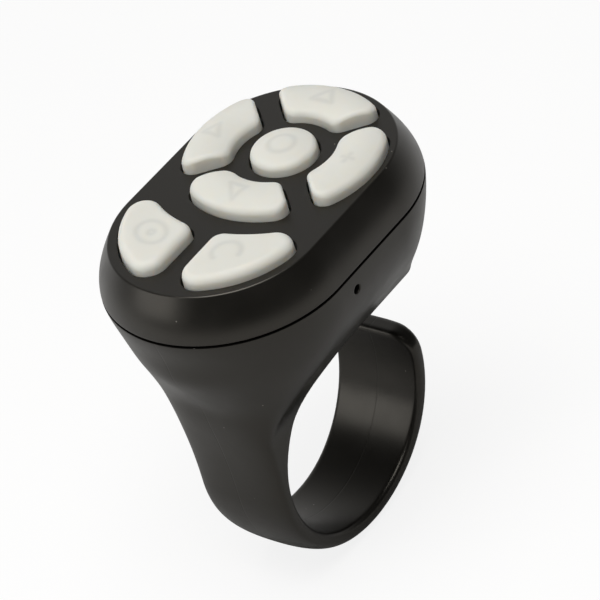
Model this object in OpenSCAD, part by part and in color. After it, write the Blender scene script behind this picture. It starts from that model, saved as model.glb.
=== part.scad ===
// Remote control worn on a finger: an open band carries an oval head with seven soft keys.
// Origin at the centre of the finger hole, +Y along the finger, +Z up to the keys,
// +X to the end of the head that holds the charging socket.

/* [Finger band] */
// Diameter of the finger hole
finger_d = 22.6; // [18:0.1:26]
// Thickness of the band at its middle
band_wall = 2.2; // [1.8:0.1:2.6]
// Width of the band under the finger
band_w = 9.7; // [9:0.1:11]
// Width of the band beside the finger
band_side_w = 10.6; // [9.6:0.1:12]
// How much thinner the band is at its edges
band_crown = 1.2; // [0.6:0.1:1.5]
// Height of the band's free end above the middle of the finger hole
tip_rise = 2.8; // [0.5:0.1:5]
// Corner radius of the band's free end
tip_corner_r = 2.6; // [1:0.1:4]
// How far the cut end over the free end lies below the top of the finger hole
heel_drop = 1.1; // [0.9:0.1:2]
// Edge radius of that cut end
heel_edge_r = 0.9; // [0.3:0.1:1.4]

/* [Head] */
// Length of the head's straight sides
side_len = 11.6; // [9.6:0.2:15]
// Width of the head at the parting line
head_w = 26; // [23:0.2:31]
// How far the head's middle lies from the middle of the finger hole
head_shift = 0.3; // [-0.5:0.1:1]
// Height of the parting line above the top of the finger hole
head_h = 12.7; // [12.2:0.1:15]
// Height of the top cover above the parting line
cover_h = 4.85; // [4.7:0.05:6]
// How far the cover's side leans in up to its flat top
cover_lean = 1.85; // [1:0.05:2]
// Wall of the lower casing
casing_wall = 1.5; // [1.4:0.1:1.8]
// Floor between the finger hole and the inside of the casing
floor_t = 1.4; // [1:0.1:1.6]
// Side wall of the top cover below its flat top
cover_wall = 0.7; // [0.6:0.05:0.9]
// Thickness of the cover's flat top
plate_t = 1.2; // [0.9:0.1:1.4]
// Open groove between the cover and the casing
reveal = 0.25; // [0.1:0.05:0.4]
// Depth of the lip that plugs the cover into the casing
lip_depth = 1.2; // [1:0.1:1.4]

/* [Keys] */
// How far the crown of the round key and the curved keys stands above the cover
key_proud = 1.58; // [1.3:0.02:1.8]
// How far the two keys at the near end stand above the cover
corner_key_proud = 1.27; // [1.15:0.01:1.5]
// Arch of the round key and the curved keys across their width
key_crown = 0.65; // [0.4:0.05:0.9]
// Travel of a key
key_travel = 0.3; // [0.15:0.05:0.35]
// Radius of the round middle key
middle_key_r = 3.46; // [2.8:0.02:4]
// Space between the middle key and the curved keys
middle_gap = 1.9; // [1.2:0.02:2.2]
// Space between neighbouring curved keys
curved_gap = 2.4; // [2:0.05:2.8]
// Flat land between the curved keys and the edge of the cover's top
curved_land = 0.74; // [0.56:0.02:1]
// How far the round key lies back from the centre of the head's far arc
pad_back = 0.2; // [0:0.05:0.4]
// Space between the curved keys and the two keys at the near end
strip_w = 2.98; // [2.6:0.02:3.3]
// Flat land between those two keys and the edge of the cover's top
corner_land = 1.13; // [0.8:0.01:1.4]
// Space between the two keys at the near end
corner_gap = 2.45; // [1.6:0.05:2.8]
// Edge radius of the round key and the curved keys
key_edge_r = 0.5; // [0.2:0.02:0.6]
// Edge radius of the two keys at the near end
corner_key_edge_r = 0.86; // [0.5:0.02:0.9]
// Space round a key in the cover
key_clear = 0.15; // [0.1:0.05:0.2]

/* [Electronics] */
// Thickness of the circuit board
board_t = 0.8; // [0.6:0.1:1]
// Thickness of the battery cell
cell_t = 5.5; // [4:0.1:6.4]
// Width of a key switch along its key
switch_l = 3.9; // [3.2:0.1:4]
// Width of a key switch across its key
switch_w = 3; // [2.9:0.1:3.2]
// Width of the charging socket's shell
socket_w = 8.94; // [8.8:0.02:9]
// Height of the charging socket's shell
socket_h = 3.26; // [3.1:0.02:3.3]
// Length of the charging socket's shell
socket_len = 7.35; // [6.5:0.05:7.6]
// Bore of the indicator hole
indicator_d = 1; // [0.8:0.1:1.2]
// How far the indicator hole lies from the near end of the head's straight side
indicator_in = 2.6; // [1.6:0.1:5]

/* [Hidden] */
SPOTS = ["middle", "far", "left", "near", "right", "corner_left", "corner_right"];

// Facets of true round faces, and steps round a key's corner, a key's side and an end of the head
round_fn = 64;
corner_steps = 5;
side_steps = 8;
end_steps = 22;
// Overrun of a cut past the face that it opens
over = 0.5;

// Colours of the finishes
shell_colour = "#2a2a28";
key_colour = "#dcdad2";
mat_colour = "#c9c6bb";
board_colour = "#1d4a34";
steel_colour = "#b6b8ba";
gold_colour = "#c9a24a";
plastic_colour = "#1b1b1d";
pouch_colour = "#a9adb0";
tape_colour = "#d8b36a";
foam_colour = "#3a3a3c";

// Sizes of the band and head that follow from the driving sizes
finger_r = finger_d / 2;
band_r = finger_r + band_wall;
heel_rise = finger_r - heel_drop;
head_lift = finger_r + head_h;
head_r = head_w / 2;
head_len = side_len + head_w;
arc_x = side_len / 2;
far_arc_x = head_shift + arc_x;
near_arc_x = head_shift - arc_x;
plateau_z = head_lift + cover_h;
plateau_r = head_r - cover_lean;
plate_z = plateau_z - plate_t;
floor_z = finger_r + floor_t;
// Share of the head's lift at which the casing's sides have drawn in to the band's width
side_depth_share = 0.701;
// Powers of depth that shape how the casing's sides and ends draw in
side_fall_share = 1.18;
end_fall_share = 0.645;
// How much squarer than an ellipse the band's section is
square_share = 0.34;
// Depths of the slices: down to the casing's rounded lower edge, round that edge,
// and on down the leg to the band
body_steps = 11;
heel_steps = 4;
leg_steps = 9;
band_steps = 60;
body_low_d = head_lift - heel_rise - heel_edge_r;
body_depths = [for (k = [0:body_steps - 1]) body_low_d * k / body_steps];
heel_turns = [for (k = [0:heel_steps]) 90 * k / heel_steps];
heel_depths = [for (a = heel_turns) body_low_d + heel_edge_r * sin(a)];
leg_shares = [for (k = [1:leg_steps]) k / leg_steps];

// Places and radii of the keys
pad_x = far_arc_x - pad_back;
curved_in_r = middle_key_r + middle_gap;
curved_out_r = plateau_r - curved_land;
corner_in_r = curved_out_r + strip_w;
corner_out_r = plateau_r - corner_land;
// Corner radii of the keys; those of the curved keys stay under a share of their width
curved_corner_share = 0.3;
curved_out_corner_r = min(1.38, curved_corner_share * (curved_out_r - curved_in_r));
curved_in_corner_r = min(1.4, curved_corner_share * (curved_out_r - curved_in_r));
corner_key_r = 1.93;
corner_key_hollow_r = 1.64;

// Cover: the lip that plugs into the casing, its snap ridges, posts and locating pins
lip_wall = 0.8;
lip_clear = 0.05;
lip_z = head_lift - lip_depth;
lip_out_r = head_r - lip_wall - lip_clear;
cover_in_r = plateau_r + cover_lean * cos(90 * (plate_z - head_lift) / cover_h) - cover_wall;
cover_edge_bevel = 0.12;
cover_slices = 8;
snap_len = 3;
snap_proud = 0.3;
snap_h = 0.5;
snap_play = 0.08;
snap_x = arc_x - snap_len / 2 - snap_proud;
post_r = 0.95;
post_ring_r = (curved_out_r + corner_in_r) / 2;
post_turns = [137, 180, 223];
pin_shoulder_r = 0.6;
pin_r = 0.4;
pin_len = 0.6;
pin_ring_r = (curved_in_r + curved_out_r) / 2;
pin_turns = [45, 315];

// Keys
key_top_z = plateau_z + key_proud;
corner_key_top_z = plateau_z + corner_key_proud;
key_draft = 0.08;
key_edge_steps = 4;
key_crown_steps = 5;
key_crest_share = 0.36;
key_post_r = 1.1;

// Keypad mat under the cover's flat top
mat_sheet_t = 0.8;
mat_clear = 0.15;
mat_post_clear = 0.1;
mat_r = cover_in_r - lip_clear;
mat_rib_t = 0.8;
key_low_z = plate_z - mat_sheet_t;

// Board, and the switches on it
board_drop = 0.3;
board_z = head_lift - board_drop;
board_low_z = board_z - board_t;
board_clear = 0.15;
board_r = cover_in_r - board_clear;
switch_h = 1.4;
switch_plate_t = 0.15;
switch_plate_edge = 0.1;
well_r = 1.3;
well_floor_t = 0.3;
stem_r = 0.8;
stem_clear = 0.08;
stem_flange_r = 1.15;
stem_flange_t = 0.3;
stem_rest_gap = 0.05;
stem_shows = key_travel + stem_rest_gap;
stem_top_z = board_z + switch_h + switch_plate_t + stem_shows;
dome_r = 1.15;
dome_t = 0.1;
dome_h = switch_h - well_floor_t - stem_rest_gap - stem_flange_t - key_travel - stem_rest_gap;
dome_ball_r = (dome_r * dome_r + dome_h * dome_h) / (2 * dome_h);

// Screws that hold the board to the cover's posts
screw_r = 0.45;
screw_play = 0.03;
screw_grip = 2.4;
screw_head_r = 0.9;
screw_head_h = 0.5;
screw_slot_w = 0.25;
screw_slot_h = 0.25;
hole_play = 0.12;
pin_play = 0.06;

// Charging socket, hung under the board
socket_z = board_low_z - socket_h / 2;
socket_shell_t = 0.25;
socket_set_back = 1;
socket_mouth_x = far_reach(head_lift - socket_z) - socket_set_back;
socket_back_x = socket_mouth_x - socket_len;
socket_play = 0.25;
socket_fit = 0.03;
socket_base_t = 1.5;
tongue_w = 6.7;
tongue_t = 0.7;
tongue_short = 0.7;
contact_w = 0.25;
contact_t = 0.06;
contact_len = 3.4;
contact_pitch = 0.5;
contact_count = 12;
contact_short = 0.5;

// Battery, its tabs, guard board and tape: the cell fills the room between the casing's
// sides, the guard board at the near end and the back of the socket
tape_t = 0.3;
tape_edge = 1;
cell_z = floor_z + tape_t;
cell_side_clear = 0.4;
cell_far_clear = 0.55;
cell_corner_r = 0.9;
tab_len = 0.9;
tab_w = 1.6;
tab_t = 0.2;
guard_t = 0.8;
guard_w = 8.4;
guard_h = 3.2;
guard_clear = 1.3;
guard_z = cell_z + (cell_t - guard_h) / 2;
cell_d = head_lift - cell_z;
cell_w = 2 * (half_w(cell_d) - casing_wall - cell_side_clear);
guard_x = casing_wall + guard_clear + guard_t / 2 - near_reach(cell_d);
cell_near_x = guard_x + guard_t / 2 + tab_len;
cell_far_x = socket_back_x - cell_far_clear;
cell_len = cell_far_x - cell_near_x;
cell_x = (cell_far_x + cell_near_x) / 2;

// Wires from the guard board up to the circuit board
wire_r = 0.35;
wire_y = 1.4;
wire_reach = 2.8;
wire_lead = 2;
wire_steps = 12;
wire_sides = 8;

// Small parts under the board, and the foam between them and the socket
radio_w = 4;
radio_t = 0.85;
radio_x = near_arc_x + 1.3;
radio_y = -4;
crystal_l = 3.2;
crystal_w = 2.5;
crystal_t = 0.7;
crystal_y = 4.2;
charger_l = 2.9;
charger_w = 1.6;
charger_t = 1.1;
charger_x = far_arc_x;
charger_edge = 3;
charger_y = board_r - charger_edge - charger_w / 2;
charger_lead_w = 0.4;
charger_lead_l = 0.6;
charger_lead_t = 0.2;
charger_pitch = 0.95;
chip_l = 0.7;
chip_end = 0.2;
chip_w = 0.5;
chip_t = 0.5;
chip_pitch = 1.4;
capacitor_x = radio_x + radio_w / 2 + chip_pitch;
foam_w = 8;
foam_near_clear = 1.55;
foam_far_clear = 2.2;
foam_near_x = capacitor_x + chip_l / 2 + chip_end + foam_near_clear;
foam_far_x = cell_far_x - foam_far_clear;
resistor_x = charger_x - charger_l / 2 - 1.5 * chip_pitch;
trace_t = 0.08;
trace_w = 0.5;
trace_pitch = 1.1;
trace_runs = 5;
trace_span = 5.2;
trace_edge = 1;
led_l = 1.6;
led_w = 0.8;
led_h = 1.6;
led_edge = 0.1;
indicator_x = near_arc_x + indicator_in;
indicator_z = board_low_z - led_h / 2;

// Helpers
function mix(a, b, k) = a + (b - a) * k;
function reversed(v) = [for (i = [len(v) - 1:-1:0]) v[i]];
function signed_pow(v, p) = sign(v) * pow(abs(v), p);
function polar(r, a) = [r * cos(a), r * sin(a)];
function direction(a, b) = atan2(b[1] - a[1], b[0] - a[0]);
// Points of an arc about c from angle a to b, and the same without its two ends
function arc(c, r, a, b, steps) = [for (i = [0:steps]) c + polar(r, mix(a, b, i / steps))];
function inner_arc(c, r, a, b, steps) = [for (i = [1:steps - 1]) c + polar(r, mix(a, b, i / steps))];

// Falls from 1 at no depth to 0 at full depth, level at both ends
function fall(t, p) = pow(cos(90 * pow(min(1, max(0, t)), p)), 2);
function side_fall(d) = fall(d / (head_lift * side_depth_share), side_fall_share);
function end_fall(d) = fall(d / head_lift, end_fall_share);
// Half width, reach from the finger hole's middle and end roundness of the casing,
// at a depth under the parting line
function half_w(d) = mix(band_side_w / 2, head_r, side_fall(d));
function near_reach(d) = mix(band_r, head_len / 2 - head_shift, end_fall(d));
function far_reach(d) = mix(band_r, head_len / 2 + head_shift, end_fall(d));
function cap_depth(d) = mix(band_crown, head_r, side_fall(d));
function cap_power(d) = 2 / (2 + square_share * (1 - side_fall(d)));
// One end of a slice from +Y round to -Y, drawn in by an inset; side is 1 far, -1 near
function cap_points(d, inset, side) = [
    for (i = [0:end_steps])
        let (
            a = 90 - 180 * i / end_steps,
            reach = side > 0 ? far_reach(d) : near_reach(d),
            out = (cap_depth(d) - inset) * pow(max(0, cos(a)), cap_power(d))
        )
            [side * (reach - cap_depth(d) + out), (half_w(d) - inset) * signed_pow(sin(a), cap_power(d))]
];
// Half of a slice, closed along the plane x = 0, clockwise from above
function far_slice(d, inset) = concat(
    [[0, half_w(d) - inset]], cap_points(d, inset, 1), [[0, inset - half_w(d)]]
);
function near_slice(d) = reversed(concat([[0, half_w(d)]], cap_points(d, 0, -1), [[0, -half_w(d)]]));
function whole_slice(d, inset) = concat(cap_points(d, inset, 1), reversed(cap_points(d, inset, -1)));
// Oval of the head's plan at a radius about its two arc centres, clockwise from above
function oval(r) = concat(
    arc([far_arc_x, 0], r, 90, -90, end_steps), arc([near_arc_x, 0], r, -90, -270, end_steps)
);

// Sides between m rings of n points in space, each clockwise as seen from the ring before it,
// and the face on the last one
function ring_sides(n, m) = [
    for (k = [0:m - 2])
        for (i = [0:n - 1])
            let (j = (i + 1) % n)
                each [
                    [k * n + i, (k + 1) * n + i, (k + 1) * n + j],
                    [k * n + i, (k + 1) * n + j, k * n + j]
                ]
];
function last_face(n, m) = [for (i = [n - 1:-1:0]) (m - 1) * n + i];

// A solid through such rings with a flat face on each end
module through(rings) {
    n = len(rings[0]);
    m = len(rings);
    polyhedron(
        [for (r = rings) each r],
        concat(ring_sides(n, m), [[for (i = [0:n - 1]) i], last_face(n, m)])
    );
}

// The same from clockwise outlines in plan, highest first
module loft(outlines, heights) {
    through([for (k = [0:len(outlines) - 1]) [for (p = outlines[k]) [p[0], p[1], heights[k]]]]);
}

// A solid through such rings that closes over its top at one point
module domed(rings, crest) {
    n = len(rings[0]);
    m = len(rings);
    top = [for (i = [0:n - 1]) [n * m, i, (i + 1) % n]];
    polyhedron(concat([for (r = rings) each r], [crest]), concat(ring_sides(n, m), top, [last_face(n, m)]));
}

// Upright oval solid in the head's plan, with true round ends
module oval_block(r, low, high) {
    translate([0, 0, low])
        linear_extrude(high - low)
            union() {
                for (x = [far_arc_x, near_arc_x])
                    translate([x, 0])
                        circle(r, $fn = 2 * round_fn);
                translate([near_arc_x, -r])
                    square([far_arc_x - near_arc_x, 2 * r]);
            }
}

// Flat-sided slot along +X with round edges, centred on the axis
module slot(w, h, length) {
    rotate([0, 90, 0])
        linear_extrude(length)
            union() {
                for (s = [-1, 1])
                    translate([0, s * (w - h) / 2])
                        circle(h / 2, $fn = round_fn);
                square([h, w - h], center = true);
            }
}

// Box centred in plan, from its low face up
module block(size, at) {
    translate([at[0] - size[0] / 2, at[1] - size[1] / 2, at[2]])
        cube(size);
}

// Finger band and lower casing in one moulding
module ring_body() {
    color(shell_colour)
        difference() {
            union() {
                far_half();
                near_half();
                band();
            }
            rotate([90, 0, 0])
                cylinder(r = finger_r, h = 2 * head_w, center = true, $fn = 2 * round_fn);
            casing_inside();
            snap_bars(snap_play);
            socket_opening();
            translate([indicator_x, lip_wall - head_r, indicator_z])
                rotate([90, 0, 0])
                    cylinder(d = indicator_d, h = 2 * casing_wall + lip_wall, center = true, $fn = round_fn);
        }
}

// Far half of the casing, cut level over the band's free end with a rounded lower edge
module far_half() {
    insets = concat([for (d = body_depths) 0], [for (a = heel_turns) heel_edge_r * (1 - cos(a))]);
    depths = concat(body_depths, heel_depths);
    loft(
        [for (i = [0:len(depths) - 1]) far_slice(depths[i], insets[i])],
        [for (d = depths) head_lift - d]
    );
}

// Near half of the casing, which runs on down into the band
module near_half() {
    depths = concat(
        body_depths, heel_depths, [for (s = leg_shares) mix(head_lift - heel_rise, head_lift, s)]
    );
    loft([for (d = depths) near_slice(d)], [for (d = depths) head_lift - d]);
}

// Lower arch of the band, with its free end cut level and its corners rounded; the band is
// narrowest under the finger
tip_turn = asin(tip_rise / band_r);
function band_half_w(a) = mix(band_w, band_side_w, pow(cos(a), 2)) / 2;
module band() {
    half = band_side_w / 2;
    edge = [for (p = cap_points(head_lift, 0, 1)) [p[0], p[1] / half]];
    section = concat([[finger_r - over, -1]], reversed(edge), [[finger_r - over, 1]]);
    difference() {
        through([
            for (k = [0:band_steps])
                let (a = mix(180, 360 + 2 * tip_turn, k / band_steps))
                    [for (p = section) [p[0] * cos(a), p[1] * band_half_w(a), p[0] * sin(a)]]
        ]);
        translate([0, -band_side_w, tip_rise])
            cube([2 * band_r, 2 * band_side_w, 2 * band_r]);
        for (side = [-1, 1])
            tip_corner(side);
    }
}

module tip_corner(side) {
    y = band_half_w(tip_turn) - tip_corner_r;
    low = tip_rise - tip_corner_r;
    difference() {
        translate([finger_r - 2 * over, side > 0 ? y : -y - 2 * tip_corner_r, low])
            cube([2 * band_wall + 2 * over, 2 * tip_corner_r, 2 * tip_corner_r]);
        translate([0, side * y, low])
            rotate([0, 90, 0])
                cylinder(r = tip_corner_r, h = 2 * band_r, $fn = round_fn);
    }
}

// Space inside the casing, and the wider step at its rim that takes the cover's lip
module casing_inside() {
    depths = concat([for (d = body_depths) if (d < head_lift - floor_z - over) d], [head_lift - floor_z]);
    loft(
        concat([whole_slice(0, casing_wall)], [for (d = depths) whole_slice(d, casing_wall)]),
        concat([head_lift + over], [for (d = depths) head_lift - d])
    );
    oval_block(head_r - lip_wall, lip_z, head_lift + over);
}

// Snap ridges of the cover's lip; with play they cut the pockets that take them
module snap_bars(play) {
    for (x = [-1, 1])
        for (y = [-1, 1])
            block(
                [snap_len + 2 * play, 2 * (snap_proud + play), snap_h + 2 * play],
                [head_shift + x * snap_x, y * lip_out_r, lip_z + snap_h / 2 - play]
            );
}

module socket_opening() {
    translate([socket_back_x, 0, socket_z])
        slot(socket_w + 2 * socket_play, socket_h + 2 * socket_play, 2 * socket_len);
}

// Top cover: sides that lean in to a flat top with seven key holes
module top_cover() {
    color(shell_colour)
        difference() {
            union() {
                difference() {
                    union() {
                        cover_outside();
                        oval_block(lip_out_r, lip_z, head_lift + reveal + over);
                        snap_bars(0);
                    }
                    oval_block(cover_in_r, lip_z - over, plate_z);
                    for (i = [0:6])
                        key_prism(i, key_clear, plate_z - over, plateau_z + over);
                }
                for (a = post_turns)
                    translate(concat([pad_x, 0] + polar(post_ring_r, a), board_z))
                        cylinder(r = post_r, h = plate_z - board_z + over, $fn = round_fn);
                for (a = pin_turns)
                    translate(concat([pad_x, 0] + polar(pin_ring_r, a), board_z)) {
                        cylinder(r = pin_shoulder_r, h = plate_z - board_z + over, $fn = round_fn);
                        translate([0, 0, -pin_len])
                            cylinder(r = pin_r, h = pin_len + over, $fn = round_fn);
                    }
            }
            for (a = post_turns)
                translate(concat([pad_x, 0] + polar(post_ring_r, a), board_z - over))
                    cylinder(r = screw_r + screw_play, h = screw_grip + over, $fn = round_fn);
            socket_opening();
        }
}

module cover_outside() {
    low = head_lift + reveal;
    steps = [for (k = [cover_slices:-1:0]) k / cover_slices];
    heights = concat(
        [plateau_z],
        [for (k = steps) mix(low, plateau_z - cover_edge_bevel, sin(90 * k))]
    );
    loft(
        concat(
            [oval(plateau_r - cover_edge_bevel)],
            [for (k = steps) oval(cover_side_r(mix(low, plateau_z - cover_edge_bevel, sin(90 * k))))]
        ),
        heights
    );
}
function cover_side_r(z) = plateau_r + cover_lean * cos(90 * (z - head_lift) / cover_h);

// Soft sheet that the keys stand in, with a rib round it down to the board
module keypad_mat() {
    color(mat_colour)
        difference() {
            oval_block(mat_r, board_z, plate_z);
            oval_block(mat_r - mat_rib_t, board_z - over, plate_z - mat_sheet_t);
            for (i = [0:6])
                key_prism(i, mat_clear, board_z - over, plate_z + over);
            for (a = post_turns)
                translate(concat([pad_x, 0] + polar(post_ring_r, a), board_z))
                    cylinder(r = post_r + mat_post_clear, h = 2 * mat_r, $fn = round_fn);
            for (a = pin_turns)
                translate(concat([pad_x, 0] + polar(pin_ring_r, a), board_z))
                    cylinder(r = pin_shoulder_r + mat_post_clear, h = 2 * mat_r, $fn = round_fn);
        }
}

// Curved key about the pad's middle, on the +X side, drawn in by d all round
function curved_centre(r, k) = let (n = curved_gap / 2 + k, u = sqrt(r * r - n * n))
    [(u + n) * cos(45), (u - n) * cos(45)];
function curved_half(d) = let (
    outer = curved_centre(curved_out_r - curved_out_corner_r, curved_out_corner_r),
    inner = curved_centre(curved_in_r + curved_in_corner_r, curved_in_corner_r),
    outer_a = direction([0, 0], outer),
    inner_a = direction([0, 0], inner)
) concat(
    [for (i = [0:side_steps - 1]) polar(curved_out_r - d, outer_a * i / side_steps)],
    arc(outer, curved_out_corner_r - d, outer_a, 135, corner_steps),
    arc(inner, curved_in_corner_r - d, 135, inner_a + 180, corner_steps),
    [for (i = [side_steps - 1:-1:0]) polar(curved_in_r + d, inner_a * i / side_steps)]
);
function curved_outline(d) = let (half = curved_half(d))
    concat(half, [for (i = [len(half) - 2:-1:1]) [half[i][0], -half[i][1]]]);
function middle_outline(d) = [for (i = [0:round_fn - 1]) polar(middle_key_r - d, 360 * i / round_fn)];

// Key at the near end on the +Y side, drawn in by d all round: a straight side, an outer arc
// about the near arc's centre and a hollow side about the pad's middle
near_mid = [near_arc_x, 0];
pad_mid = [pad_x, 0];
corner_a_y = corner_gap / 2 + corner_key_r;
corner_b_y = corner_gap / 2 + corner_key_hollow_r;
corner_a = [near_arc_x - sqrt(pow(corner_out_r - corner_key_r, 2) - pow(corner_a_y, 2)), corner_a_y];
corner_b = [pad_x - sqrt(pow(corner_in_r + corner_key_hollow_r, 2) - pow(corner_b_y, 2)), corner_b_y];
corner_c = circle_cross(near_mid, corner_out_r - corner_key_r, pad_mid, corner_in_r + corner_key_r);
function circle_cross(a, ra, b, rb) = let (
    apart = b[0] - a[0],
    along = (ra * ra - rb * rb + apart * apart) / (2 * apart)
) [a[0] + along, sqrt(ra * ra - along * along)];
function corner_outline(d) = let (
    a_out = direction(near_mid, corner_a),
    c_out = direction(near_mid, corner_c),
    c_in = direction(pad_mid, corner_c),
    b_in = direction(pad_mid, corner_b)
) concat(
    arc(corner_c, corner_key_r - d, c_in - 180, c_out, corner_steps),
    inner_arc(near_mid, corner_out_r - d, c_out, a_out, 2 * side_steps),
    arc(corner_a, corner_key_r - d, a_out, 270, corner_steps),
    arc(corner_b, corner_key_hollow_r - d, 270, b_in + 180, corner_steps),
    inner_arc(pad_mid, corner_in_r + d, b_in, c_in, side_steps)
);

// Where each key and its switch stand: the turn about the pad, and the switch's place
function key_turn(i) = i > 0 && i < 5 ? 90 * (i - 1) : 0;
corner_mid = (corner_a + corner_b + corner_c) / 3;
function switch_at(i) =
    i == 0 ? pad_mid :
    i < 5 ? pad_mid + polar(pin_ring_r, key_turn(i)) :
    i == 5 ? corner_mid : [corner_mid[0], -corner_mid[1]];
function key_outline(i, d) =
    i == 0 ? [for (p = middle_outline(d)) p + pad_mid] :
    i < 5 ? [for (p = curved_outline(d)) pad_mid + turned(p, key_turn(i))] :
    i == 5 ? corner_outline(d) : reversed([for (p = corner_outline(d)) [p[0], -p[1]]]);
function turned(p, a) = [p[0] * cos(a) - p[1] * sin(a), p[0] * sin(a) + p[1] * cos(a)];

module key_prism(i, clear, low, high) {
    translate([0, 0, low])
        linear_extrude(high - low)
            polygon(key_outline(i, -clear));
}

// Height of a key's top at a place: arched about the middle of its width, or level at the
// near end; and the place that the rings of its top close on
function key_top(i, p) = let (off = norm(p - pad_mid))
    i > 4 ? corner_key_top_z :
    i == 0 ? key_top_z - key_crown * pow(off / middle_key_r, 2) :
    key_top_z - key_crown * pow((off - pin_ring_r) / (curved_out_r - pin_ring_r), 2);
function key_crest(i) =
    i == 0 || i > 4 ? switch_at(i) :
    pad_mid + polar(mix(curved_in_r, curved_out_r, key_crest_share), key_turn(i));

// Key with an arched top and a soft edge, and the post under it that bears on its switch
module key(i) {
    edge_r = i > 4 ? corner_key_edge_r : key_edge_r;
    turns = [for (k = [key_edge_steps:-1:0]) 90 * k / key_edge_steps];
    crest = key_crest(i);
    brim = reversed(key_outline(i, key_draft + edge_r));
    color(key_colour)
        union() {
            domed(
                concat(
                    [
                        for (k = [1:key_crown_steps - 1])
                            [
                                for (p = brim)
                                    let (q = mix(crest, p, k / key_crown_steps))
                                        concat(q, key_top(i, q))
                            ]
                    ],
                    [
                        for (a = turns)
                            [
                                for (p = reversed(key_outline(i, key_draft + edge_r * (1 - cos(a)))))
                                    concat(p, key_top(i, p) - edge_r * (1 - sin(a)))
                            ]
                    ],
                    [for (z = [plate_z, key_low_z]) [for (p = reversed(key_outline(i, 0))) concat(p, z)]]
                ),
                concat(crest, key_top(i, crest))
            );
            translate(concat(switch_at(i), stem_top_z))
                cylinder(r = key_post_r, h = key_low_z + over - stem_top_z, $fn = round_fn);
        }
}

// Key switch: moulded case, snap dome, stem and steel top plate
module at_switch(i, z) {
    translate(concat(switch_at(i), z))
        rotate([0, 0, key_turn(i) + (i == 0 ? 0 : 90)])
            children();
}
module switch_case(i) {
    color(plastic_colour)
        at_switch(i, board_z)
            difference() {
                block([switch_l, switch_w, switch_h], [0, 0, 0]);
                translate([0, 0, well_floor_t])
                    cylinder(r = well_r, h = switch_h, $fn = round_fn);
            }
}
module switch_dome(i) {
    color(steel_colour)
        at_switch(i, board_z + well_floor_t)
            intersection() {
                translate([0, 0, dome_h - dome_ball_r])
                    difference() {
                        sphere(r = dome_ball_r, $fn = round_fn);
                        sphere(r = dome_ball_r - dome_t, $fn = round_fn);
                    }
                cylinder(r = well_r, h = switch_h, $fn = round_fn);
            }
}
module switch_stem(i) {
    flange_z = board_z + switch_h - stem_rest_gap - stem_flange_t;
    color(plastic_colour)
        at_switch(i, flange_z) {
            cylinder(r = stem_flange_r, h = stem_flange_t, $fn = round_fn);
            cylinder(r = stem_r, h = stem_top_z - flange_z, $fn = round_fn);
        }
}
module switch_plates() {
    color(steel_colour)
        for (i = [0:6])
            at_switch(i, board_z + switch_h)
                difference() {
                    block(
                        [switch_l - 2 * switch_plate_edge, switch_w - 2 * switch_plate_edge, switch_plate_t],
                        [0, 0, 0]
                    );
                    cylinder(r = stem_r + stem_clear, h = 3 * switch_plate_t, center = true, $fn = round_fn);
                }
}

// Circuit board with its screw and pin holes
module circuit_board() {
    color(board_colour)
        difference() {
            oval_block(board_r, board_low_z, board_z);
            for (a = post_turns)
                translate(concat([pad_x, 0] + polar(post_ring_r, a), board_low_z - over))
                    cylinder(r = screw_r + hole_play, h = board_t + 2 * over, $fn = round_fn);
            for (a = pin_turns)
                translate(concat([pad_x, 0] + polar(pin_ring_r, a), board_low_z - over))
                    cylinder(r = pin_r + pin_play, h = board_t + 2 * over, $fn = round_fn);
        }
}

// Screws up through the board into the cover's posts
module cover_screws() {
    color(steel_colour)
        for (a = post_turns)
            translate(concat([pad_x, 0] + polar(post_ring_r, a), board_low_z - screw_head_h))
                difference() {
                    union() {
                        cylinder(r = screw_head_r, h = screw_head_h, $fn = round_fn);
                        cylinder(
                            r = screw_r, h = screw_head_h + board_t + screw_grip - screw_r, $fn = round_fn
                        );
                    }
                    for (turn = [0, 90])
                        rotate([0, 0, turn])
                            block(
                                [screw_head_r, screw_slot_w, screw_slot_h + over],
                                [0, 0, -over]
                            );
                }
}

// Charging socket: folded shell, moulded tongue and its contacts
module socket_shell() {
    color(steel_colour)
        translate([socket_back_x, 0, socket_z])
            difference() {
                slot(socket_w, socket_h, socket_len);
                translate([-over, 0, 0])
                    slot(socket_w - 2 * socket_shell_t, socket_h - 2 * socket_shell_t, socket_len + 2 * over);
            }
}
module socket_tongue() {
    edge = socket_shell_t + socket_fit;
    color(plastic_colour)
        translate([socket_back_x, 0, socket_z]) {
            slot(socket_w - 2 * edge, socket_h - 2 * edge, socket_base_t);
            block(
                [socket_len - tongue_short, tongue_w, tongue_t],
                [(socket_len - tongue_short) / 2, 0, -tongue_t / 2]
            );
        }
}
module socket_contacts() {
    x = socket_mouth_x - tongue_short - contact_short - contact_len / 2;
    color(gold_colour)
        for (k = [0:contact_count - 1])
            for (z = [tongue_t / 2, -tongue_t / 2 - contact_t])
                block(
                    [contact_len, contact_w, contact_t],
                    [x, (k - (contact_count - 1) / 2) * contact_pitch, socket_z + z]
                );
}

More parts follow.
